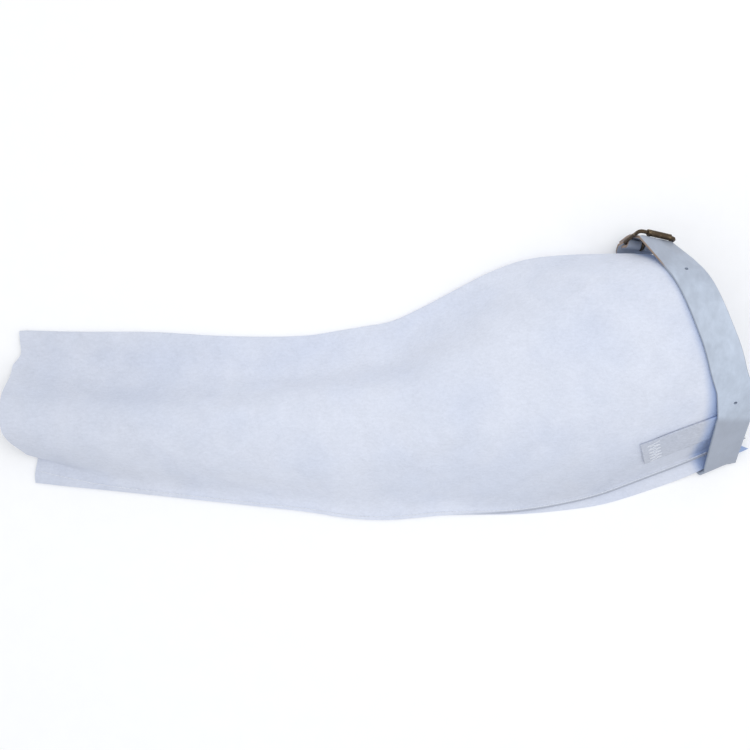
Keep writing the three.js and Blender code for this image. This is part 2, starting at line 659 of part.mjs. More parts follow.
const FINISHES = {
  split_leather: { color: 0xd7dcee, roughness: 0.9, metalness: 0 },
  strap_leather: { color: 0xc3d2de, roughness: 0.6, metalness: 0 },
  antique_brass: { color: 0x5a4a30, roughness: 0.4, metalness: 1 },
};

const part = new THREE.Group();
const add = (name, geometry, finish) => {
  const mesh = new THREE.Mesh(geometry, new THREE.MeshStandardMaterial(FINISHES[finish]));
  mesh.name = name;
  part.add(mesh);
};
add("sleeve_panel", sleevePanel(), "split_leather");
add("strap_tab", strapTab(), "strap_leather");
add("arm_strap", armStrap(), "strap_leather");
add("buckle_frame", buckleFrame(), "antique_brass");
add("buckle_roller", buckleRoller(), "antique_brass");
add("buckle_prong", buckleProng(), "antique_brass");

// The part's own origin is the middle of its outline, on the floor
const outline = new THREE.Box3().setFromObject(part);
const centre = outline.getCenter(new THREE.Vector3());
part.position.set(-centre.x, -centre.y, -outline.min.z);

export default part;
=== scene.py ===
"""Welding sleeve of split leather, laid flat, with the strap and roller buckle at its mouth.

The CAD part is loaded as the fixed frame. Sleeve, tab and strap are made again here from the
same sections as the part, with finer surfaces, soft folds, rounded edges and thread. The
buckle's own solids stay and get their metal. Section sizes are in millimetres, and every
Blender object is in metres.
"""
import math

import bpy
import numpy as np
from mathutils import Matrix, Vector


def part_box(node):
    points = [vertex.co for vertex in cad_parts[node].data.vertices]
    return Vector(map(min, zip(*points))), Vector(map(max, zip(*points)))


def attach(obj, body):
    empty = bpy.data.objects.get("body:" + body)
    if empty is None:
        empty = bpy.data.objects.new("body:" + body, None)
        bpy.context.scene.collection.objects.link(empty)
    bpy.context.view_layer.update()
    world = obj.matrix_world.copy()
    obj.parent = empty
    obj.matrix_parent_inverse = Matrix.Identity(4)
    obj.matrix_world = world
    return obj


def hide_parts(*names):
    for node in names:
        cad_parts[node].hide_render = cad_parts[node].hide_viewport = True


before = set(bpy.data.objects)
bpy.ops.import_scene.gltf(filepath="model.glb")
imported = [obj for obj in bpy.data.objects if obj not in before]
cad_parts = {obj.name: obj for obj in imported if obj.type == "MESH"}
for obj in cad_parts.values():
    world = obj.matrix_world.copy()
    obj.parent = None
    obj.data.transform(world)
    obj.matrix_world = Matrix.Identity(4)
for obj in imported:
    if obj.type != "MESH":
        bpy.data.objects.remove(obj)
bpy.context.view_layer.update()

bl_info = {
    "name": "Welding sleeve",
    "version": (1, 0, 0),
    "blender": (4, 5, 0),
    "location": "3D View > Sidebar > Sleeve",
    "description": "Split leather welding sleeve with a strap and a roller buckle",
    "category": "Add Mesh",
}

MM = 0.001

# Sizes of the part, in millimetres and degrees
ARM_LENGTH = 532
ARM_WIDTH = 208
CROWN_HEIGHT = 86
CUFF_TURN = 6
MOUTH_TURN = 21
MOUTH_LEAN = 9.5
LEAN_FROM = 0.55
LEATHER = 1.6
PLY_GAP = 0.3
FOLD_RADIUS = 2.4
CUFF_BULGE = 11
CUFF_BULGE_REACH = 0.16
SEAM_TIP = 20
SEAM_TIP_RISE = 0.4
SEAM_TIP_REACH = 0.018
STRAP_WIDTH = 25.4
STRAP_THICKNESS = 2.2
STRAP_GAP = 0.6
SEAM_SLACK = 1.5
STRAP_RAMP = 40
RIM_HIDDEN = 5
TAB_LENGTH = 48
TAB_WIDTH = 31
TAB_THICKNESS = 1.8
TAB_GAP = 0.8
TAB_LOW = 22
TAB_LOW_AT_STRAP = 31
HOLE_RADIUS = 1.4
WIRE_RADIUS = 1.5
FRAME_LENGTH = 30
ROLLER_RADIUS = 2.45
ROLLER_SIDE = 1.1
PRONG_RADIUS = 1
METAL_GAP = 0.3
BUCKLE_OUT = 14
BUCKLE_UP = 47
BUCKLE_ALONG = 2
TURNED_END = 8
TAIL = 13
FLOOR_TURN = 11
SEAM_TURN = 1.6
FLOOR_TURN_IN = 2.1
BAR_DOWN = FRAME_LENGTH - 2 * WIRE_RADIUS

# Sections from the cuff to the mouth, as in the part: at is a share of ARM_LENGTH, lengths
# across are shares of ARM_WIDTH and heights are shares of CROWN_HEIGHT
COLUMNS = (
    "at", "fold", "seam", "crest", "crown", "ear", "tuck", "lift", "rise", "tilt",
    "foot", "inset", "brow", "shoulder", "flare",
)
SECTIONS = np.array([
    [0.0, 0.17, -0.415, -0.16, 0.49, 0.08, 0, 0, 0, 4, 0.092, 0, 0.42, 0.6, 0.14],
    [0.05, 0.167, -0.431, -0.17, 0.5, 0.1, 0, 0, 0, 4, 0.06, 0, 0.42, 0.64, 0.2],
    [0.1, 0.167, -0.445, -0.18, 0.51, 0.12, 0, 0, 0, 4, 0.035, 0, 0.42, 0.7, 0.24],
    [0.2, 0.167, -0.476, -0.18, 0.53, 0.13, 0, 0, 0, 4, 0.026, 0, 0.42, 0.72, 0.26],
    [0.3, 0.153, -0.508, -0.18, 0.55, 0.12, 0, 0, 0, 5, 0.024, 0, 0.44, 0.73, 0.26],
    [0.38, 0.15, -0.535, -0.17, 0.58, 0.11, 0, 0, 0.005, 8, 0.024, 0, 0.46, 0.73, 0.26],
    [0.44, 0.156, -0.563, -0.16, 0.61, 0.09, 0.001, 0, 0.01, 12, 0.024, 0, 0.48, 0.73, 0.26],
    [0.49, 0.176, -0.571, -0.15, 0.64, 0.08, 0.006, 0.005, 0.01, 14, 0.024, 0, 0.5, 0.73, 0.24],
    [0.53, 0.193, -0.565, -0.13, 0.68, 0.075, 0.013, 0.01, 0.01, 16, 0.024, 0, 0.5, 0.72, 0.2],
    [0.57, 0.212, -0.556, -0.11, 0.72, 0.07, 0.021, 0.015, 0.015, 19, 0.024, 0, 0.5, 0.7, 0.16],
    [0.62, 0.264, -0.556, -0.08, 0.78, 0.06, 0.03, 0.025, 0.02, 24, 0.024, 0.002, 0.5, 0.69, 0.12],
    [0.68, 0.336, -0.556, -0.03, 0.85, 0.05, 0.045, 0.045, 0.035, 32, 0.028, 0.01, 0.5, 0.68, 0.08],
    [0.74, 0.406, -0.545, 0.01, 0.91, 0.045, 0.06, 0.08, 0.06, 42, 0.037, 0.022, 0.5, 0.67, 0.06],
    [0.8, 0.456, -0.524, 0.05, 0.96, 0.04, 0.08, 0.14, 0.09, 53, 0.051, 0.036, 0.48, 0.66, 0.06],
    [0.86, 0.471, -0.482, 0.08, 0.99, 0.037, 0.1, 0.22, 0.14, 63, 0.062, 0.046, 0.47, 0.66, 0.06],
    [0.92, 0.47, -0.43, 0.11, 1.0, 0.034, 0.12, 0.31, 0.18, 68, 0.066, 0.05, 0.46, 0.66, 0.06],
    [0.96, 0.466, -0.388, 0.13, 1.0, 0.032, 0.13, 0.35, 0.2, 70, 0.064, 0.048, 0.5, 0.7, 0.06],
    [1.0, 0.454, -0.342, 0.13, 0.99, 0.032, 0.14, 0.37, 0.2, 70, 0.058, 0.042, 0.58, 0.74, 0.06],
])
SCALES = np.array([
    ARM_WIDTH if name in ("fold", "seam", "crest", "ear", "tuck", "foot", "inset")
    else CROWN_HEIGHT if name in ("crown", "lift", "rise") else 1
    for name in COLUMNS
])
GRID = {"flange": 1, "wall": 9, "brow": 8, "ear": 5, "bend": 4, "floor": 7}
EAR_START = GRID["flange"] + GRID["wall"] + GRID["brow"]
NOSE = 0.6  # share of the ear's points that are on the bend of the fold
# How far a curve goes on in its end's direction, as a share of its own length
BROW_END, EAR_ENDS, BEND_ENDS = 0.42, 0.3, 0.55
FINE = {"flange": 1, "wall": 60, "brow": 40, "ear": 8, "bend": 12, "floor": 2}

# Cuff's rim: share of the way from the seam's strip over the crest, share of CUFF_BULGE
CUFF_RIM = (
    (-0.05, 0), (0.02, -0.45), (0.14, 0.3), (0.45, 0.9), (0.7, 0.84), (0.92, 0.65), (1, 0),
)
CUFF_UNDER = -0.55
# Strap's drift along the arm: the angle that it faces, millimetres
DRIFT = (
    (0, -5), (90, -2.5), (195, -2.5), (225, 1.5), (250, -3), (280, -3.5), (310, -3.5),
)
STRAP_FACINGS = range(10, 321, 6)  # angles that it faces on its way round the sleeve
STRAP_SPAN = 12
PUNCHED = (0.88, 0.716)

# Soft folds of the near layer, seen from above: middle x and y, half length, half width and
# height in millimetres, and the direction in degrees. A negative height is a hollow.
FOLDS = (
    (-175, 14, 120, 7, -0.9, -3),
    (-190, 0, 110, 6, 0.6, -4),
    (-170, -9, 110, 7, -0.7, -4),
    (-212, -50, 26, 16, -1.6, 10),
    (4, 4, 12, 26, -1.0, 0),
    (8, -62, 20, 5, -0.8, 50),
    (16, -103, 20, 5, -0.8, -50),
    (45, -44, 34, 8, 1.0, 24),
    (98, 20, 52, 10, -1.2, 18),
    (68, -84, 18, 11, -1.2, 20),
    (140, -74, 22, 13, -1.4, 15),
    (200, 54, 26, 14, -0.9, 60),
)
# Shares of the arm's length over which the folds come in at the cuff and go out at the strap
FOLDS_IN, FOLDS_OUT = (-0.02, 0.05), (0.93, 0.85)
WAVES = np.linspace(35, 110, 9)  # lengths of the faint waves
WAVES_TOGETHER = 3  # what they are divided by, as their heights add up


def ease(start, end, x):
    """0 to 1, slow at both ends, as x goes from start to end."""
    t = np.clip((np.asarray(x, float) - start) / (end - start), 0, 1)
    return t * t * (3 - 2 * t)


def eased(table, x):
    """A value from rows of (place, value), eased between them."""
    x = np.asarray(x, float)
    out = np.full(x.shape, float(table[0][1]))
    for (x0, v0), (x1, v1) in zip(table[:-1], table[1:]):
        out = np.where(x >= x0, v0 + (v1 - v0) * ease(x0, x1, x), out)
    return out


def turn(at):
    return math.radians(CUFF_TURN + (MOUTH_TURN - CUFF_TURN) * at)


STRAP_AT = 1 - (STRAP_WIDTH / 2 - RIM_HIDDEN) / math.cos(turn(1)) / ARM_LENGTH


def along_share(distance):
    """Share of the arm's length that a distance square to the mouth takes."""
    return distance / math.cos(turn(1)) / ARM_LENGTH


TAB_START = STRAP_AT - along_share(STRAP_WIDTH / 2 + TAB_LENGTH)
TAB_SKEW = 6.5  # the tab's sewn end is square to the tab, which the section's plane isn't
TAB_UNDER = TAB_GAP * 0.4  # its underside, off the near layer
# Place along the arm of the strap's inner edge, in metres
STRAP_EDGE = (STRAP_AT - along_share(STRAP_WIDTH / 2)) * ARM_LENGTH * MM


def cubic(start, start_slope, end, end_slope, t):
    """A value on the curve between two values that leaves and reaches them with two slopes."""
    return (
        start * (1 + 2 * t) * (1 - t) ** 2 + start_slope * t * (1 - t) ** 2
        + end * t * t * (3 - 2 * t) + end_slope * t * t * (t - 1)
    )


def travelled(line):
    """Distance along a line, at its points."""
    return np.concatenate([[0], np.cumsum(np.linalg.norm(np.diff(line, axis=0), axis=1))])


def unit(vector):
    return vector / np.linalg.norm(vector)


def section_sizes(at):
    """Named sizes of the section at a share of the length, on a curve through the rows."""
    at = min(max(at, 0), 1)
    last = len(SECTIONS) - 1
    k = next((i for i, row in enumerate(SECTIONS) if row[0] > at), last)
    before, start, end, after = (
        SECTIONS[max(k - 2, 0)], SECTIONS[k - 1], SECTIONS[k], SECTIONS[min(k + 1, last)]
    )
    span = end[0] - start[0]
    t = (at - start[0]) / span
    start_slope = (end - before) / (end[0] - before[0]) * span
    end_slope = (after - start) / (after[0] - start[0]) * span
    return dict(zip(COLUMNS, cubic(start, start_slope, end, end_slope, t) * SCALES))


def strap_lift(at):
    away = (STRAP_AT - at) * ARM_LENGTH * math.cos(turn(at)) - STRAP_WIDTH / 2
    return (STRAP_THICKNESS + STRAP_GAP) * float(ease(STRAP_RAMP, LEATHER, away))


def bezier(points, steps):
    a, b, c, d = (np.array(p, float) for p in points)
    t = np.linspace(0, 1, steps + 1)[1:, None]
    return a * (1 - t) ** 3 + 3 * b * t * (1 - t) ** 2 + 3 * c * t * t * (1 - t) + d * t ** 3


def section_outline(at, counts):
    """Outer side of the leather across a section, from the near seam edge over the crest."""
    s = section_sizes(at)
    base = strap_lift(at)
    edge = np.array([s["seam"] + s["inset"], base + 2 * LEATHER + PLY_GAP])
    foot = np.array([s["seam"] + s["foot"], edge[1]])
    crest = np.array([s["crest"], base + s["crown"]])
    fold_up = FOLD_RADIUS + s["lift"]
    ear = np.array([s["fold"] - s["ear"], base + fold_up + FOLD_RADIUS + s["rise"]])
    fold = np.array([s["fold"], base + fold_up])
    contact = np.array([s["fold"] - s["tuck"] - FOLD_RADIUS, base])
    slope = math.radians(s["tilt"])
    inward = np.array([-math.cos(slope), math.sin(slope)])
    wall = crest[0] - foot[0]
    brow = np.linalg.norm(ear - crest)
    reach = EAR_ENDS * np.linalg.norm(ear - fold) * inward
    nose_points = round(NOSE * counts["ear"])
    angles = (math.pi / 2 - slope) * np.linspace(1, 0, nose_points + 1)
    nose = fold + FOLD_RADIUS * np.stack([np.cos(angles) - 1, np.sin(angles)], 1)
    flange = np.linspace(edge, foot, counts["flange"] + 1)
    floor = np.linspace(contact, [s["seam"], base], counts["floor"] + 1)[1:]
    return np.concatenate([
        flange,
        bezier((foot, foot + [s["flare"] * wall, 0], crest - [s["shoulder"] * wall, 0], crest),
               counts["wall"]),
        bezier((crest, crest + [s["brow"] * brow, 0], ear + BROW_END * brow * inward, ear),
               counts["brow"]),
        bezier((ear, ear - reach, nose[0] + reach, nose[0]), counts["ear"] - nose_points),
        nose[1:],
        bezier((fold, fold - [0, BEND_ENDS * fold_up],
                contact + [BEND_ENDS * (fold[0] - contact[0]), 0], contact), counts["bend"]),
        floor,
    ])


def outward(line):
    """Unit directions out of an outline, at its points."""
    steps = np.diff(line, axis=0)
    steps /= np.linalg.norm(steps, axis=1)[:, None]
    along = np.concatenate([steps[:1], steps]) + np.concatenate([steps, steps[-1:]])
    along /= np.linalg.norm(along, axis=1)[:, None]
    return np.stack([-along[:, 1], along[:, 0]], 1)


def place(at, across, up, along=0.0):
    """Points of a section's plane as points of the part, in millimetres."""
    across, up, along = np.broadcast_arrays(
        np.asarray(across, float), np.asarray(up, float), np.asarray(along, float)
    )
    angle = turn(at)
    out = along + math.tan(math.radians(MOUTH_LEAN)) * float(ease(LEAN_FROM, 1, at)) * up
    return np.stack([
        (at - 0.5) * ARM_LENGTH - across * math.sin(angle) + out * math.cos(angle),
        across * math.cos(angle) + out * math.sin(angle),
        up,
    ], -1)


def rim_shift(at, index):
    """How far the cuff's rim bulges out, for places round the outline in GRID's steps."""
    fold = EAR_START + GRID["ear"]
    last = fold + GRID["bend"] + GRID["floor"]
    back = (index - fold) / (last - fold)
    under = CUFF_UNDER * ease(0, 0.1, back) * ease(1, 0.92, back)
    near = eased(CUFF_RIM, (index - GRID["flange"]) / (EAR_START - GRID["flange"]))
    return -CUFF_BULGE * np.where(index > fold, under, near) * ease(CUFF_BULGE_REACH, 0, at)


def seam_corner(at, index):
    """Share of the seam corner's reach at the mouth, round the outline."""
    last = sum(GRID.values())
    near = ease(GRID["flange"] + 2, 0, index)
    far = np.clip(index - last + 1, 0, 1)
    return np.maximum(near, far) * float(ease(1 - SEAM_TIP_REACH, 1, at))


def buckle_axes():
    """The middle of the buckle's front bar and its own directions, as in the part."""
    def ring(out, along, up):
        return place(STRAP_AT, out, up, along) - place(STRAP_AT, 0, 0)

    across = unit(ring(-0.5, 0.84, -0.18))
    down = ring(-0.2, 0.02, -0.93)
    down = unit(down - across * down.dot(across))
    out = -np.cross(across, down)
    if out.dot(ring(1, 0, 0)) < 0:
        out = -out
    past = section_sizes(STRAP_AT)["fold"] + BUCKLE_OUT
    roller = place(STRAP_AT, past, BUCKLE_UP, BUCKLE_ALONG)
    return roller - ROLLER_SIDE * across, across, down, out


BUCKLE = buckle_axes()
# The part's origin is the middle of its outline, which the roller's place gives here
ROLLER_MIDDLE = np.mean([list(corner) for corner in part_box("buckle_roller")], axis=0) / MM
TO_FRAME = ROLLER_MIDDLE - BUCKLE[0] - ROLLER_SIDE * BUCKLE[1]


def at_buckle(across, down, out):
    origin, x, y, z = BUCKLE
    return origin + across * x + down * y + out * z


def in_section(at, point):
    base = place(at, 0, 0)
    return np.array([(point - base).dot(place(at, 1, 0) - base), point[2]])


def tab_outline(at, distance, columns):
    """Points of the tab across its width, a distance off the near layer."""
    line = section_outline(at, GRID)
    normal = outward(line)
    count = GRID["flange"] + GRID["wall"] + 1
    wall, normal = line[:count], normal[:count]
    low = TAB_LOW + (TAB_LOW_AT_STRAP - TAB_LOW) * float(ease(TAB_START, STRAP_AT, at))
    length = travelled(wall)
    first = max(int(np.argmax(wall[:, 1] > low)), 1)
    step = (low - wall[first - 1, 1]) / (wall[first, 1] - wall[first - 1, 1])
    start = length[first - 1] + step * (length[first] - length[first - 1])
    places = start + TAB_WIDTH * np.asarray(columns)
    at_places = [np.interp(places, length, values) for values in (*wall.T, *normal.T)]
    points = np.stack(at_places[:2], 1)
    normals = np.stack(at_places[2:], 1)
    return points + distance * normals / np.linalg.norm(normals, axis=1)[:, None]


def hull(points):
    """Convex outline of points in a section's plane."""
    ordered = sorted(map(tuple, points))

    def chain(points):
        kept = []
        for p in points:
            while len(kept) > 1:
                a, b = kept[-2:]
                if (b[0] - a[0]) * (p[1] - a[1]) - (b[1] - a[1]) * (p[0] - a[0]) > 0:
                    break
                kept.pop()
            kept.append(p)
        return kept[:-1]

    return np.array(chain(ordered) + chain(ordered[::-1]))


def turn_points(across, radius, start, end):
    """Points on a round turn of the strap off the floor, between two directions it faces."""
    facing = np.radians(-np.arange(start, end + 1, 15))
    middle = np.array([across, STRAP_THICKNESS + STRAP_GAP + radius])
    return middle + radius * np.stack([np.cos(facing), np.sin(facing)], 1)


def stand_off(share, side):
    """What holds the strap off the sleeve: the buckle, its turned end and its two turns."""
    under = ROLLER_RADIUS + METAL_GAP + STRAP_THICKNESS + STRAP_GAP
    slack = STRAP_GAP + SEAM_SLACK * (side / STRAP_WIDTH + 0.5)
    turn_out = section_sizes(STRAP_AT)["fold"] - FLOOR_TURN_IN
    return np.concatenate([
        [in_section(share, at_buckle(side, -1, -under))],
        [in_section(share, at_buckle(side, BAR_DOWN + TURNED_END, STRAP_THICKNESS / 4))],
        turn_points(turn_out, FLOOR_TURN, 0, 90),
        turn_points(section_sizes(share)["seam"] - slack + SEAM_TURN, SEAM_TURN, 90, 210),
    ])


def strap_places(column):
    """Places of the strap at one share of its width, from its turned end to its tail."""
    side = column * STRAP_WIDTH
    half = STRAP_THICKNESS / 2
    wrap = WIRE_RADIUS + METAL_GAP + half
    ply = STRAP_THICKNESS + METAL_GAP

    def from_bar(down, out):
        return at_buckle(side, BAR_DOWN + down, out)

    line = [from_bar(TURNED_END, -half / 2), from_bar(TURNED_END / 2, -half)]
    for angle in np.radians(range(180, -1, -36)):
        line.append(from_bar(-wrap * math.sin(angle), wrap * math.cos(angle)))
    line.append(from_bar(TURNED_END / 2, wrap))
    for angle in STRAP_FACINGS:
        facing = math.radians(-angle)
        direction = np.array([math.cos(facing), math.sin(facing)])
        share = STRAP_AT + along_share(side + float(eased(DRIFT, angle)))
        around = hull(np.concatenate([
            section_outline(share, FINE),
            tab_outline(share, TAB_GAP + TAB_THICKNESS, np.linspace(0, 1, 5)),
            stand_off(share, side),
        ]))
        reached = around[np.argmax(around @ direction)] + direction * (STRAP_GAP + half)
        line.append(place(share, reached[0], reached[1]))
    under = -(ROLLER_RADIUS + 2 * METAL_GAP + half)
    over = wrap + ply
    # Under the roller, up through the frame, and over the rear bar to its end
    return np.array(line + [
        at_buckle(side, 0, under), at_buckle(side, 6, under * 0.6), from_bar(-7, over * 0.75),
        from_bar(0, over), from_bar(TAIL / 2, over), from_bar(TAIL, over),
    ])


def strap_line(column):
    """The strap's middle line there, with more points wherever they are far apart."""
    line, middle = strap_places(column), strap_places(0)
    spread = [line[0]]
    for i in range(1, len(line)):
        parts = math.ceil(np.linalg.norm(middle[i] - middle[i - 1]) / STRAP_SPAN)
        spread += [line[i - 1] + (line[i] - line[i - 1]) * (k + 1) / parts for k in range(parts)]
    return np.array(spread)


def on_curve(points, shares):
    """Places on the centripetal curve through points, at shares of its points' count."""
    ends = (2 * points[0] - points[1], 2 * points[-1] - points[-2])
    chain = np.concatenate([[ends[0]], points, [ends[1]]])
    last = len(points) - 2
    span = np.asarray(shares, float) * (len(points) - 1)
    k = np.minimum(span.astype(int), last)
    t = (span - k)[:, None]
    p0, p1, p2, p3 = (chain[k + i] for i in range(4))

    def step(a, b):
        return np.maximum(np.linalg.norm(b - a, axis=1), 1e-6)[:, None] ** 0.5

    d0, d1, d2 = step(p0, p1), step(p1, p2), step(p2, p3)
    m1 = ((p1 - p0) / d0 - (p2 - p0) / (d0 + d1) + (p2 - p1) / d1) * d1
    m2 = ((p2 - p1) / d1 - (p3 - p1) / (d1 + d2) + (p3 - p2) / d2) * d1
    return cubic(p1, m1, p2, m2, t)


# Meshes

def plain_object(name, points, edges=(), faces=()):
    """An object from points in the part's millimetres, moved to the frame, in metres."""
    mesh = bpy.data.meshes.new(name)
    faces = facing_out(points, faces)
    mesh.from_pydata(((points + TO_FRAME) * MM).tolist(), edges, faces)
    piece = bpy.data.objects.new(name, mesh)
    bpy.context.scene.collection.objects.link(piece)
    return piece


def mesh_object(name, points, faces, material, uv):
    """A piece with its material and its map."""
    piece = plain_object(name, points, faces=faces)
    mesh = piece.data
    mesh.validate()
    layer = mesh.uv_layers.new(name="Surface")
    flat = np.empty(len(mesh.loops), dtype=np.int32)
    mesh.loops.foreach_get("vertex_index", flat)
    layer.data.foreach_set("uv", np.asarray(uv, dtype=np.float32)[flat].ravel())
    mesh.materials.append(material)
    return piece


def apply_modifiers(piece):
    """Makes what the modifiers give the piece's own mesh."""
    depsgraph = bpy.context.evaluated_depsgraph_get()
    mesh = bpy.data.meshes.new_from_object(piece.evaluated_get(depsgraph))
    piece.modifiers.clear()
    piece.data = mesh


def soften(piece, degrees):
    """Smooth shading, with edges sharper than an angle kept."""
    mesh = piece.data
    mesh.polygons.foreach_set("use_smooth", [True] * len(mesh.polygons))
    mesh.set_sharp_from_angle(angle=math.radians(degrees))


def loop_faces(rows, columns):
    """Faces of closed loops in a row, with a cap at both ends."""
    faces = []
    for i in range(rows - 1):
        for j in range(columns):
            k = (j + 1) % columns
            a, b = i * columns, (i + 1) * columns
            faces.append((a + j, a + k, b + k, b + j))
    last = (rows - 1) * columns
    faces.append(tuple(range(columns))[::-1])
    faces.append(tuple(last + j for j in range(columns)))
    return faces


def facing_out(points, faces):
    """The faces, turned round if the closed mesh is inside out."""
    volume = 0.0
    for face in faces:
        a = points[face[0]]
        for j in range(1, len(face) - 1):
            volume += a.dot(np.cross(points[face[j]], points[face[j + 1]]))
    return [face[::-1] for face in faces] if volume < 0 else faces


def wall_faces(rows, columns):
    """Faces of a wall between an outer and an inner grid, closed round its border."""
    half = rows * columns
    faces = []
    for i in range(rows - 1):
        for j in range(columns - 1):
            a, b = i * columns + j, (i + 1) * columns + j
            faces.append((a, b, b + 1, a + 1))
            faces.append((half + a, half + a + 1, half + b + 1, half + b))
        a, b = i * columns, (i + 1) * columns
        faces.append((a, half + a, half + b, b))
        a, b = a + columns - 1, b + columns - 1
        faces.append((a, b, half + b, half + a))
    for j in range(columns - 1):
        faces.append((j, j + 1, half + j + 1, half + j))
        a = (rows - 1) * columns + j
        faces.append((a, half + a, half + a + 1, a + 1))
    return faces


def band_profile(width, thickness, rounding, columns):
    """Round a flat band's section: shares of the width, and heights off its middle."""
    inset = 0.5 - rounding / width
    shares = np.linspace(-inset, inset, columns)
    top = [(s, thickness / 2) for s in shares]
    side = [(0.5, thickness / 2 - rounding), (0.5, rounding - thickness / 2)]
    bottom = [(s, -thickness / 2) for s in shares[::-1]]
    other = [(-0.5, rounding - thickness / 2), (-0.5, thickness / 2 - rounding)]
    return np.array(top + side + bottom + other)


def plan_relief(points, fold_depth, waviness, seed):
    """Height of the near layer's folds and faint waves over points seen from above."""
    x, y = points[..., 0], points[..., 1]
    height = np.zeros(x.shape)
    for mx, my, length, width, rise, degrees in FOLDS:
        angle = math.radians(degrees)
        u = (x - mx) * math.cos(angle) + (y - my) * math.sin(angle)
        v = (y - my) * math.cos(angle) - (x - mx) * math.sin(angle)
        height += fold_depth * rise * np.exp(-0.5 * ((u / length) ** 2 + (v / width) ** 2))
    rng = np.random.default_rng(seed)
    for wave in WAVES:
        angle, phase = rng.uniform(0, math.pi), rng.uniform(0, 2 * math.pi)
        wide = np.sin((x * math.cos(angle) + y * math.sin(angle)) * 2 * math.pi / wave + phase)
        height += waviness * wave / WAVES[-1] / WAVES_TOGETHER * wide
    return height


# Node graphs

class Value:
    """What a node gives. Maths on a number adds Math nodes."""

    def __init__(self, graph, socket):
        self.graph = graph
        self.socket = socket

    def __add__(self, other):
        return self.graph.maths("ADD", self, other)

    def __sub__(self, other):
        return self.graph.maths("SUBTRACT", self, other)

    def __rsub__(self, other):
        return self.graph.maths("SUBTRACT", other, self)

    def __mul__(self, other):
        return self.graph.maths("MULTIPLY", self, other)

    def part(self, axis):
        """One axis of a direction or place."""
        return self.graph.add("ShaderNodeSeparateXYZ", {0: self}, axis)


class Graph:
    """A node tree that is made one node a call."""

    def __init__(self, tree):
        self.tree = tree

    def add(self, kind, sockets=None, output=0, **settings):
        """Adds a node: its settings first, then the values or links of its sockets."""
        node = self.tree.nodes.new(kind)
        for key, value in settings.items():
            setattr(node, key, value)
        for key, value in (sockets or {}).items():
            if isinstance(value, Value):
                self.tree.links.new(value.socket, node.inputs[key])
            else:
                node.inputs[key].default_value = value
        return Value(self, node.outputs[output]) if len(node.outputs) else node

    def maths(self, operation, first, second=0):
        return self.add("ShaderNodeMath", {0: first, 1: second}, operation=operation)


class Finish(Graph):
    """A material's node graph."""

    def __init__(self, name):
        self.material = bpy.data.materials.new("finish_" + name)
        self.material.use_nodes = True
        super().__init__(self.material.node_tree)
        self.tree.nodes.clear()

    def place_on_object(self, scale=(1, 1, 1)):
        """Object coordinates, stretched by a scale."""
        where = self.add("ShaderNodeTexCoord", output="Object")
        return self.add("ShaderNodeMapping", {"Vector": where, "Scale": scale})

    def on_surface(self):
        """The piece's own map: x round or across it, y along it, in metres."""
        where = self.add("ShaderNodeUVMap", uv_map="Surface")
        return where.part("X"), where.part("Y")

    def noise(self, where, scale, detail, roughness, distortion=0.0):
        return self.add("ShaderNodeTexNoise", {
            "Vector": where, "Scale": scale, "Detail": detail, "Roughness": roughness,
            "Distortion": distortion,
        })

    def ramp(self, value, low, high):
        """The value's range from low to high spread over 0 to 1, eased."""
        sockets = {"Value": value, "From Min": low, "From Max": high}
        return self.add("ShaderNodeMapRange", sockets, interpolation_type="SMOOTHSTEP")

    def blend(self, factor, first, second, how="MIX"):
        """Two colours mixed. The node's sockets 6 and 7 and its output 2 are for colours."""
        sockets = {"Factor": factor, 6: first, 7: second}
        return self.add("ShaderNodeMix", sockets, 2, data_type="RGBA", blend_type=how)

    def darken(self, colour, level):
        """The colour times a level from 0 to 1."""
        grey = self.blend(level, (0, 0, 0, 1), (1, 1, 1, 1))
        return self.blend(1.0, colour, grey, "MULTIPLY")

    def bump(self, height, distance, strength=1.0, over=None):
        sockets = {"Height": height, "Distance": distance, "Strength": strength}
        if over is not None:
            sockets["Normal"] = over
        return self.add("ShaderNodeBump", sockets)

    def surface(self, **sockets):
        names = {
            key.replace("_", " ").title().replace("Ior", "IOR"): value
            for key, value in sockets.items()
        }
        shader = self.add("ShaderNodeBsdfPrincipled", names)
        self.add("ShaderNodeOutputMaterial", {"Surface": shader})
        return self.material


def rgba(colour, factor=1.0):
    """A colour with its alpha, made darker by a factor."""
    return (*(channel * factor for channel in colour), 1.0)


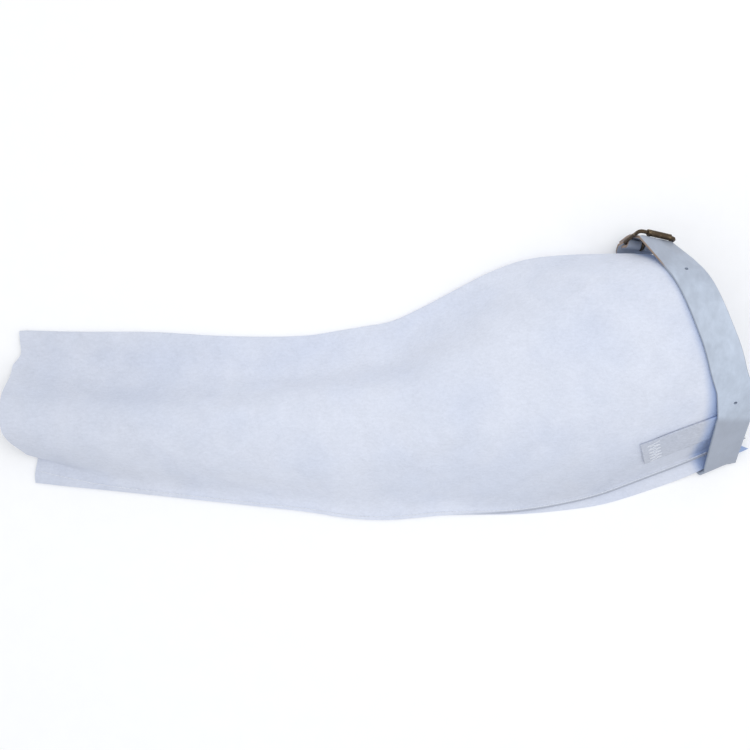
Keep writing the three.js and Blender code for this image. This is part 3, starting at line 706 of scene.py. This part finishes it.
def leather_finish(name, looks, level, mottle):
    """Chrome split leather: pale, matte and fibrous, cloudy, with painted shade towards the cuff,
    on the seam's side and along the near ply's edge, and a painted blue shadow beside the strap.
    """
    f = Finish(name)
    where = f.place_on_object()
    across, along = f.on_surface()
    clouds = f.noise(where, 14, 3, 0.55)
    patches = f.noise(where, 60, 4, 0.62, 0.4)
    nap = f.noise(f.place_on_object((0.6, 1, 1)), 520, 3, 0.7)
    fibres = f.noise(where, 1500, 4, 0.7)
    colour = f.blend(
        f.ramp(clouds, 0.35, 0.7), rgba(looks.leather_tint, level), rgba(looks.leather_cool, level))
    shade = f.ramp(patches, 0.2, 0.8) * 0.06 + f.ramp(nap, 0.25, 0.75) * mottle + (0.94 - mottle)
    # Painted shade on the steep wall of the seam's side, from past the middle of the arm to the
    # mouth
    seam_wall_shade = (1 - f.ramp(across, 0.01, 0.07)) * f.ramp(along, 0.3, 0.42)
    # Painted shade: darker towards the cuff end, and darker down the seam's side
    shade = shade - (1 - f.ramp(along, 0, 0.22)) * 0.08 - seam_wall_shade * 0.1
    colour = f.darken(colour, shade)
    # Painted shadow: the leather turns blue beside the strap, as if the strap shaded it
    beside = f.ramp(along + (clouds - 0.5) * 0.004, STRAP_EDGE - 0.009, STRAP_EDGE + 0.002)
    colour = f.blend(beside, colour, rgba(looks.leather_shaded))
    # Painted shade: a darker line along the near ply's edge, from past the middle of the arm
    cut = 1 - f.ramp(across, 0.0006, 0.002)
    colour = f.blend(cut * f.ramp(along, 0.3, 0.36), colour, rgba(looks.leather_cool, 0.6))
    rough = f.ramp(nap, 0.3, 0.7) * 0.1 + 0.84
    relief = f.bump(nap * 0.6 + fibres * 0.4, 0.0007, 0.6)
    relief = f.bump(patches, 0.003, 0.4, relief)
    return f.surface(
        base_color=colour, roughness=rough, normal=relief, specular_ior_level=0.2,
        sheen_weight=0.12, sheen_roughness=0.6,
    )


def split_leather_finish(looks):
    """The panel's leather."""
    return leather_finish("split_leather", looks, 1, 0.07)


def tab_leather_finish(looks):
    """The tab's piece of split leather, darker and with a rougher nap."""
    return leather_finish("tab_leather", looks, 0.82, 0.16)


def strap_leather_finish(looks):
    """Smooth bluish strap leather with painted shade, greyer where it turns down at the bottom and
    towards the buckle, and brown cut edges at the buckle.
    """
    f = Finish("strap_leather")
    where = f.place_on_object()
    across, _ = f.on_surface()
    clouds = f.noise(where, 30, 4, 0.6, 0.5)
    streaks = f.noise(f.place_on_object((1, 0.5, 0.35)), 190, 4, 0.6)
    pores = f.noise(where, 1300, 3, 0.6)
    pale = rgba(looks.strap_tint)
    blue = rgba(looks.strap_tint, 0.86)
    colour = f.blend(f.ramp(clouds, 0.35, 0.68), pale, blue)
    shade = f.ramp(streaks, 0.3, 0.75) * 0.13 + 0.88
    colour = f.darken(colour, shade)
    upward = where.part("Y") + (clouds - 0.5) * 0.01
    # Painted shade: the strap greyer where it turns down at the bottom and towards the buckle
    worn = (1 - f.ramp(upward, -0.034, -0.026)) * 0.6 + f.ramp(upward, 0.06, 0.1) * 0.5
    colour = f.blend(worn, colour, rgba(looks.strap_shade_grey))
    edge = f.ramp(across + (clouds - 0.5) * 0.012, 1.0, 1.02)
    cut = f.blend(f.ramp(upward, 0.078, 0.09), rgba(looks.strap_tint, 0.6), rgba(looks.edge_tint))
    colour = f.blend(edge, colour, cut)
    rough = f.ramp(streaks, 0.3, 0.7) * 0.14 + 0.46
    relief = f.bump(pores, 0.0003, 0.35)
    relief = f.bump(streaks, 0.0008, 0.3, relief)
    return f.surface(
        base_color=colour, roughness=rough, normal=relief, specular_ior_level=0.4,
    )


def brass_finish(looks):
    """Antique brass: nearly black brown, worn to brass in small patches."""
    f = Finish("antique_brass")
    where = f.place_on_object()
    wear = f.noise(where, 260, 5, 0.65)
    grain = f.noise(where, 1600, 3, 0.6)
    worn = f.ramp(wear, 0.54, 0.74)
    colour = f.blend(worn, rgba(looks.brass_dark), rgba(looks.brass_worn))
    rough = 0.42 - worn * 0.12 + f.ramp(grain, 0.3, 0.7) * 0.12
    return f.surface(
        base_color=colour, metallic=1.0, roughness=rough, normal=f.bump(grain, 0.0002, 0.3),
    )


def thread_finish(looks):
    """White sewing thread with its twist."""
    f = Finish("sewing_thread")
    where = f.place_on_object()
    twist = f.noise(where, 1400, 2, 0.5)
    tint = looks.thread_tint
    colour = f.blend(f.ramp(twist, 0.3, 0.7), rgba(tint, 0.82), rgba(tint))
    return f.surface(base_color=colour, roughness=0.75, normal=f.bump(twist, 0.0002, 0.5))


FINISHES = {
    "split_leather": split_leather_finish,
    "tab_leather": tab_leather_finish,
    "strap_leather": strap_leather_finish,
    "antique_brass": brass_finish,
    "sewing_thread": thread_finish,
}


def finish(name):
    """A material by name, made when it is first asked for."""
    found = bpy.data.materials.get("finish_" + name)
    return found or FINISHES[name](bpy.context.scene.sleeve_looks)


# Thread, which a node tree lays along a path

def thread_tree():
    """Node tree that lays thread in stitches along a path that carries its up direction."""
    tree = bpy.data.node_groups.new("thread_along_path", "GeometryNodeTree")
    tree.interface.new_socket("Geometry", in_out="OUTPUT", socket_type="NodeSocketGeometry")
    kinds = {
        "Geometry": "NodeSocketGeometry", "Stitch": "NodeSocketFloat", "Rise": "NodeSocketFloat",
        "Thread": "NodeSocketFloat", "Material": "NodeSocketMaterial",
    }
    for name, kind in kinds.items():
        tree.interface.new_socket(name, in_out="INPUT", socket_type=kind)
    g = Graph(tree)
    given = tree.nodes.new("NodeGroupInput")
    path, stitch, rise, thread, material = (Value(g, given.outputs[name]) for name in kinds)
    step = g.maths("DIVIDE", stitch, 6)
    path = g.add("GeometryNodeMeshToCurve", {"Mesh": path})
    path = g.add("GeometryNodeResampleCurve", {"Curve": path, "Length": step}, mode="LENGTH")
    so_far = g.add("GeometryNodeSplineParameter", output="Length")
    phase = g.maths("DIVIDE", so_far, stitch)
    arch = g.maths("ABSOLUTE", g.maths("SINE", phase * math.pi))
    height = (arch - 0.45) * rise
    up = g.add(
        "GeometryNodeInputNamedAttribute", {"Name": "up"}, "Attribute", data_type="FLOAT_VECTOR")
    raised = g.add("ShaderNodeVectorMath", {0: up, "Scale": height}, operation="SCALE")
    path = g.add("GeometryNodeSetPosition", {"Geometry": path, "Offset": raised})
    ring = g.add("GeometryNodeCurvePrimitiveCircle", {"Resolution": 6, "Radius": thread})
    tube = g.add(
        "GeometryNodeCurveToMesh", {"Curve": path, "Profile Curve": ring, "Fill Caps": True})
    tube = g.add("GeometryNodeRealizeInstances", {"Geometry": tube})
    tube = g.add("GeometryNodeSetMaterial", {"Geometry": tube, "Material": material})
    g.add("NodeGroupOutput", {"Geometry": tube})
    return tree


def sew(name, run, stitch, rise, thread):
    """A piece of thread along a run of (points, up directions), in the part's millimetres."""
    tree = bpy.data.node_groups.get("thread_along_path") or thread_tree()
    points, ups = run
    piece = plain_object(name, points, edges=[(i, i + 1) for i in range(len(points) - 1)])
    attribute = piece.data.attributes.new("up", "FLOAT_VECTOR", "POINT")
    attribute.data.foreach_set("vector", np.asarray(ups, dtype=np.float32).ravel())
    modifier = piece.modifiers.new("Thread", "NODES")
    modifier.node_group = tree
    wanted = {
        "Stitch": stitch * MM, "Rise": rise * MM, "Thread": thread / 2 * MM,
        "Material": finish("sewing_thread"),
    }
    for item in tree.interface.items_tree:
        if item.in_out == "INPUT" and item.name in wanted:
            modifier[item.identifier] = wanted[item.name]
    apply_modifiers(piece)
    soften(piece, 60)
    return piece


# Settings

def colour_setting(name, description, default):
    """A colour that can be set."""
    return bpy.props.FloatVectorProperty(
        name=name, description=description, subtype="COLOR", default=default, min=0, max=1)


def number_setting(name, description, default, **limits):
    """A number that can be set."""
    return bpy.props.FloatProperty(name=name, description=description, default=default, **limits)


class SleeveLooks(bpy.types.PropertyGroup):
    """Colours of the sleeve's materials"""

    leather_tint: colour_setting(
        "Leather", "Split leather where it is palest", (0.74, 0.775, 0.875))
    leather_cool: colour_setting(
        "Leather patches", "Split leather in its cooler patches", (0.685, 0.73, 0.85))
    leather_shaded: colour_setting(
        "Leather by the strap", "Split leather beside the strap and at its cut", (0.34, 0.44, 0.68))
    strap_tint: colour_setting("Strap", "Face of the strap", (0.55, 0.62, 0.735))
    # Colour of the painted shade on the strap's ends
    strap_shade_grey: colour_setting("Worn strap", "Strap where it is worn grey", (0.27, 0.29, 0.35))
    edge_tint: colour_setting("Strap edge", "Cut edge of the strap", (0.30, 0.22, 0.17))
    brass_dark: colour_setting("Brass", "Antique brass where it is dark", (0.10, 0.072, 0.048))
    brass_worn: colour_setting("Worn brass", "Antique brass where it is worn", (0.45, 0.34, 0.20))
    thread_tint: colour_setting("Thread", "Sewing thread", (0.78, 0.81, 0.88))


class SleeveShape(bpy.types.PropertyGroup):
    """Sizes that don't belong to the part itself"""

    fold_depth: number_setting(
        "Fold depth", "Height of the soft folds, as a factor", 2.4, min=0, max=3, subtype="FACTOR")
    waviness: number_setting(
        "Waviness", "Height of the faint waves in the leather, in millimetres", 0.5, min=0, max=3)
    seed: bpy.props.IntProperty(
        name="Seed", description="Which set of faint waves is used", default=7, min=0)
    edge_rounding: number_setting(
        "Edge rounding", "Rounding of the strap's and tab's edges", 0.0005,
        min=0.0001, max=0.0009, unit="LENGTH")
    stitch: number_setting(
        "Stitch", "Length of one stitch", 0.0034, min=0.001, max=0.01, unit="LENGTH")
    thread: number_setting(
        "Thread", "Thickness of the thread", 0.0007, min=0.0002, max=0.002, unit="LENGTH")


class SleeveStage(bpy.types.PropertyGroup):
    """Floor, light and camera"""

    camera_height: number_setting(
        "Camera height", "Height of the camera over the floor", 0.85, min=0.3, max=3, unit="LENGTH")
    view_width: number_setting(
        "View width", "Width of the floor that the camera sees", 0.6, min=0.1, max=3, unit="LENGTH")
    view_offset: number_setting(
        "View offset", "Camera's place along the arm, from the part's own line", 0.0135,
        unit="LENGTH")
    floor_tint: colour_setting("Floor", "Colour of the floor", (0.98, 0.98, 0.985))
    key_power: number_setting(
        "Key light", "Power of the large soft light", 5, min=0, unit="POWER")
    sky_strength: number_setting(
        "Sky", "Strength of the even light from all round", 0.86, min=0)


# Pieces

PANEL_SCALE, PANEL_STATIONS = 5, 150


class SLEEVE_OT_panel(bpy.types.Operator):
    """Make the folded leather panel, with its folds"""

    bl_idname = "sleeve.panel"
    bl_label = "Leather panel"

    def execute(self, context):
        shape = context.scene.sleeve_shape
        counts = {name: count * PANEL_SCALE for name, count in GRID.items()}
        stations = np.linspace(0, 1, PANEL_STATIONS)
        index = np.arange(sum(counts.values()) + 1) / PANEL_SCALE
        on_near = ease(GRID["flange"], GRID["flange"] + 2, index)
        on_near *= ease(EAR_START + 1, EAR_START - 2, index)
        grids, maps = ([], []), []
        for at in stations:
            line = section_outline(at, counts)
            normal = outward(line)
            corner = seam_corner(at, index)
            shift = rim_shift(at, index) + SEAM_TIP * corner
            level = place(at, line[:, 0], line[:, 1], shift)
            folds = plan_relief(level + TO_FRAME, shape.fold_depth, shape.waviness, shape.seed)
            folds *= on_near * float(ease(*FOLDS_OUT, at)) * float(ease(*FOLDS_IN, at))
            for depth, grid in zip((0, LEATHER), grids):
                off = folds - depth
                across = line[:, 0] + off * normal[:, 0] + SEAM_TIP_RISE * corner
                grid.append(place(at, across, line[:, 1] + off * normal[:, 1], shift))
            along = np.full(len(line), at * ARM_LENGTH)
            maps.append(np.stack([travelled(line), along], 1) * MM)
        points = np.concatenate([np.concatenate(grid) for grid in grids])
        uv = np.concatenate([np.concatenate(maps)] * 2)
        faces = wall_faces(len(stations), len(index))
        panel = mesh_object("leather_panel", points, faces, finish("split_leather"), uv)
        soften(panel, 50)
        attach(panel, "root")
        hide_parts("sleeve_panel")
        return {"FINISHED"}


TAB_ROWS, TAB_COLUMNS = 40, 17


def on_tab(along, across, middle, height=0.0):
    """A point of the tab, by shares along and across it, and its place along the arm."""
    end = STRAP_AT + along_share(STRAP_WIDTH / 2 - 1)
    skew = along_share(TAB_SKEW) * (0.5 - across) * (1 - along)
    at = TAB_START + (end - TAB_START) * along + skew
    low, high = (tab_outline(at, off, [across])[0] for off in (middle, middle + 1))
    flat = low + (high - low) * height
    return place(at, flat[0], flat[1]), at


class SLEEVE_OT_tab(bpy.types.Operator):
    """Make the short tab that ties the strap to the sleeve"""

    bl_idname = "sleeve.tab"
    bl_label = "Strap tab"

    def execute(self, context):
        rounding = context.scene.sleeve_shape.edge_rounding / MM
        profile = band_profile(TAB_WIDTH, TAB_THICKNESS, rounding, TAB_COLUMNS)
        middle = TAB_UNDER + TAB_THICKNESS / 2
        rows, maps = [], []
        for along in np.linspace(0, 1, TAB_ROWS):
            row = [on_tab(along, column + 0.5, middle, height) for column, height in profile]
            rows.append([point for point, _ in row])
            maps.append([(0.5, at * ARM_LENGTH * MM) for _, at in row])
        points = np.concatenate(rows)
        faces = loop_faces(len(rows), len(profile))
        tab = mesh_object("sewn_tab", points, faces, finish("tab_leather"), np.concatenate(maps))
        soften(tab, 50)
        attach(tab, "root")
        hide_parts("strap_tab")
        return {"FINISHED"}


STRAP_STEPS, STRAP_COLUMNS = 110, 9
STRAP_LINES = np.linspace(-0.5, 0.5, 7)


def strap_mesh(rounding):
    """Points, faces and map of the strap, before its holes are cut."""
    shares = np.linspace(0, 1, STRAP_STEPS + 1)
    lines = np.stack([on_curve(strap_line(c), shares) for c in STRAP_LINES], 1)
    across = lines[:, -1] - lines[:, 0]
    along = np.gradient(lines, axis=0)
    normals = np.cross(across[:, None, :], along)
    normals /= np.linalg.norm(normals, axis=2)[:, :, None]
    profile = band_profile(STRAP_WIDTH, STRAP_THICKNESS, rounding, STRAP_COLUMNS)
    spot = (profile[:, 0] + 0.5) * (len(STRAP_LINES) - 1)
    low = np.minimum(spot.astype(int), len(STRAP_LINES) - 2)
    part = (spot - low)[None, :, None]
    middle = lines[:, low] * (1 - part) + lines[:, low + 1] * part
    normal = normals[:, low] * (1 - part) + normals[:, low + 1] * part
    height = profile[None, :, 1:]
    points = middle + normal * height
    least = STRAP_THICKNESS / 2 - profile[None, :, 1]
    points[:, :, 2] = np.maximum(points[:, :, 2], least)
    # The map's x is 1 at the rounded edges, more on the cut sides and less in the middle
    off_middle = np.abs(profile[:, 0])
    to_side = 1 + (off_middle > 0.499) * 0.05 - (off_middle < 0.45) * 0.2
    length = travelled(lines[:, len(STRAP_LINES) // 2])
    uv = np.stack(np.broadcast_arrays(to_side, length[:, None] * MM), -1)
    return points.reshape(-1, 3), loop_faces(len(shares), len(profile)), uv.reshape(-1, 2)


def drill(share, sides=16):
    """A round cutter through the strap at a share of its line."""
    middle, edge = strap_line(0), strap_line(0.5)
    here, ahead = on_curve(middle, [share, share + 0.001])
    along = unit(ahead - here)
    across = on_curve(edge, [share])[0] - here
    across = unit(across - along * across.dot(along))
    normal = np.cross(along, across)
    angles = np.linspace(0, 2 * math.pi, sides, endpoint=False)
    ring = HOLE_RADIUS * (np.outer(np.cos(angles), along) + np.outer(np.sin(angles), across))
    depth = 1.5 * STRAP_THICKNESS
    points = np.concatenate([here + ring - normal * depth, here + ring + normal * depth])
    return points, loop_faces(2, sides)


def slot(low, high, inside, outside):
    """A box cutter in the buckle's own directions."""
    half = PRONG_RADIUS + 2 * METAL_GAP
    points = np.array([
        at_buckle(x, y, z) for y in (low, high)
        for x, z in ((-half, inside), (half, inside), (half, outside), (-half, outside))
    ])
    return points, loop_faces(2, 4)


class SLEEVE_OT_strap(bpy.types.Operator):
    """Make the strap round the arm mouth, with its turned end, tail and holes"""

    bl_idname = "sleeve.strap"
    bl_label = "Arm strap"

    def execute(self, context):
        rounding = context.scene.sleeve_shape.edge_rounding / MM
        points, faces, uv = strap_mesh(rounding)
        strap = mesh_object("band_strap", points, faces, finish("strap_leather"), uv)
        ply = WIRE_RADIUS + METAL_GAP + STRAP_THICKNESS
        eye = WIRE_RADIUS + METAL_GAP + 2 * PRONG_RADIUS
        in_turn = slot(BAR_DOWN - ply - 1, BAR_DOWN + eye + 1, -ply - 1, ply + METAL_GAP / 2)
        in_tail = slot(BAR_DOWN * 0.55, BAR_DOWN * 0.9, -4, 7)
        tools = [*(drill(share) for share in PUNCHED), in_turn, in_tail]
        for number, (corners, sides) in enumerate(tools):
            piece = plain_object(f"strap_cutter_{number}", corners, faces=sides)
            cut = strap.modifiers.new("Cut", "BOOLEAN")
            cut.operation, cut.solver, cut.object = "DIFFERENCE", "EXACT", piece
            apply_modifiers(strap)
            bpy.data.objects.remove(piece)
        soften(strap, 40)
        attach(strap, "root")
        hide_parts("arm_strap")
        return {"FINISHED"}


class SLEEVE_OT_buckle(bpy.types.Operator):
    """Give the buckle's frame, roller and prong their antique brass"""

    bl_idname = "sleeve.buckle"
    bl_label = "Roller buckle"

    def execute(self, context):
        for name in ("buckle_frame", "buckle_roller", "buckle_prong"):
            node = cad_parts[name]
            node.data.materials.clear()
            node.data.materials.append(finish("antique_brass"))
        return {"FINISHED"}


SEAM_ROW = 0.55  # its share of the seam's strip, from the edge
SEAM_ROW_ENDS, SEAM_ROW_POINTS = (0.01, 0.975), 120
ZIGZAG_POINTS = 12
ZIGZAG_START, ZIGZAG_REACH = 0.06, 0.12  # shares of the tab's length
ZIGZAG_INSET = 0.07  # share of the tab's width


def seam_run():
    """The path of the seam's row, and its up directions."""
    points = []
    for at in np.linspace(*SEAM_ROW_ENDS, SEAM_ROW_POINTS):
        line = section_outline(at, GRID)
        spot = line[0] + (line[1] - line[0]) * SEAM_ROW
        points.append(place(at, spot[0], spot[1]))
    return np.array(points), np.tile([0.0, 0.0, 1.0], (len(points), 1))


def zigzag_run():
    """The path of the zigzag over the tab's sewn end, and its up directions."""
    top = TAB_UNDER + TAB_THICKNESS
    width = 1 - 2 * ZIGZAG_INSET
    corners = [
        (ZIGZAG_START + ZIGZAG_REACH * (k % 2), ZIGZAG_INSET + width * k / (ZIGZAG_POINTS - 1))
        for k in range(ZIGZAG_POINTS)
    ]
    points = np.array([on_tab(*corner, top)[0] for corner in corners])
    ups = np.array([on_tab(*corner, top, 1)[0] for corner in corners]) - points
    return points, ups


class SLEEVE_OT_stitches(bpy.types.Operator):
    """Lay the thread of the seam and of the tab's sewn end"""

    bl_idname = "sleeve.stitches"
    bl_label = "Stitches"

    def execute(self, context):
        shape = context.scene.sleeve_shape
        stitch, thread = shape.stitch / MM, shape.thread / MM
        pieces = [
            sew("seam_thread", seam_run(), stitch, 0.5, thread),
            sew("tab_thread", zigzag_run(), stitch, 0.4, 1.2 * thread),
        ]
        for piece in pieces:
            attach(piece, "root")
        return {"FINISHED"}


FLOOR_REACH = 3.0
KEY_SIZE, KEY_PLACE, KEY_AIM = 0.8, (0.2, 0.15, 1.35), Vector((0, 0, 0.03))


class SLEEVE_OT_stage(bpy.types.Operator):
    """Set the floor, the soft light and the camera"""

    bl_idname = "sleeve.stage"
    bl_label = "Stage"

    def execute(self, context):
        scene = context.scene
        stage = scene.sleeve_stage
        mesh = bpy.data.meshes.new("floor")
        ways = ((-1, -1), (1, -1), (1, 1), (-1, 1))
        corners = [(x * FLOOR_REACH, y * FLOOR_REACH, 0) for x, y in ways]
        mesh.from_pydata(corners, [], [(0, 1, 2, 3)])
        floor = bpy.data.objects.new("floor", mesh)
        scene.collection.objects.link(floor)
        f = Finish("floor_paper")
        grain = f.noise(f.place_on_object(), 60, 3, 0.5)
        tint = stage.floor_tint
        colour = f.blend(f.ramp(grain, 0.3, 0.7), rgba(tint), rgba(tint, 0.99))
        mesh.materials.append(f.surface(base_color=colour, roughness=0.9, specular_ior_level=0.2))

        world = bpy.data.worlds.new("studio")
        world.use_nodes = True
        sky = world.node_tree.nodes["Background"]
        sky.inputs["Color"].default_value = (0.95, 0.97, 1.0, 1.0)
        sky.inputs["Strength"].default_value = stage.sky_strength
        scene.world = world
        light = bpy.data.lights.new("key", "AREA")
        light.energy, light.size, light.color = stage.key_power, KEY_SIZE, (1.0, 0.99, 0.97)
        lamp = bpy.data.objects.new("key", light)
        lamp.location = KEY_PLACE
        lamp.rotation_euler = (KEY_AIM - lamp.location).to_track_quat("-Z", "Y").to_euler()
        scene.collection.objects.link(lamp)
        scene.view_settings.view_transform = "Standard"

        camera = bpy.data.cameras.new("camera")
        camera.sensor_fit = "HORIZONTAL"
        camera.sensor_width = 36
        camera.lens = camera.sensor_width * stage.camera_height / stage.view_width
        camera.clip_start, camera.clip_end = 0.01, 20
        eye = bpy.data.objects.new("camera", camera)
        eye.location = (TO_FRAME[0] * MM + stage.view_offset, TO_FRAME[1] * MM, stage.camera_height)
        scene.collection.objects.link(eye)
        scene.camera = eye
        return {"FINISHED"}


class SLEEVE_PT_pieces(bpy.types.Panel):
    """Lists the pieces and their settings"""

    bl_label = "Welding sleeve"
    bl_idname = "SLEEVE_PT_pieces"
    bl_space_type = "VIEW_3D"
    bl_region_type = "UI"
    bl_category = "Sleeve"

    def draw(self, context):
        layout = self.layout
        for operator in PIECES:
            layout.operator(operator.bl_idname)
        for name in GROUPS:
            group = getattr(context.scene, name)
            box = layout.box()
            for key in group.__annotations__:
                box.prop(group, key)


GROUPS = {"sleeve_looks": SleeveLooks, "sleeve_shape": SleeveShape, "sleeve_stage": SleeveStage}
PIECES = (
    SLEEVE_OT_panel, SLEEVE_OT_tab, SLEEVE_OT_strap, SLEEVE_OT_buckle, SLEEVE_OT_stitches,
    SLEEVE_OT_stage,
)


def register():
    for name, group in GROUPS.items():
        bpy.utils.register_class(group)
        setattr(bpy.types.Scene, name, bpy.props.PointerProperty(type=group))
    for piece in (*PIECES, SLEEVE_PT_pieces):
        bpy.utils.register_class(piece)


def unregister():
    for piece in (SLEEVE_PT_pieces, *reversed(PIECES)):
        bpy.utils.unregister_class(piece)
    for name, group in GROUPS.items():
        delattr(bpy.types.Scene, name)
        bpy.utils.unregister_class(group)


def main():
    register()
    bpy.ops.sleeve.panel()
    bpy.ops.sleeve.tab()
    bpy.ops.sleeve.strap()
    bpy.ops.sleeve.buckle()
    bpy.ops.sleeve.stitches()
    bpy.ops.sleeve.stage()


if __name__ == "__main__":
    main()
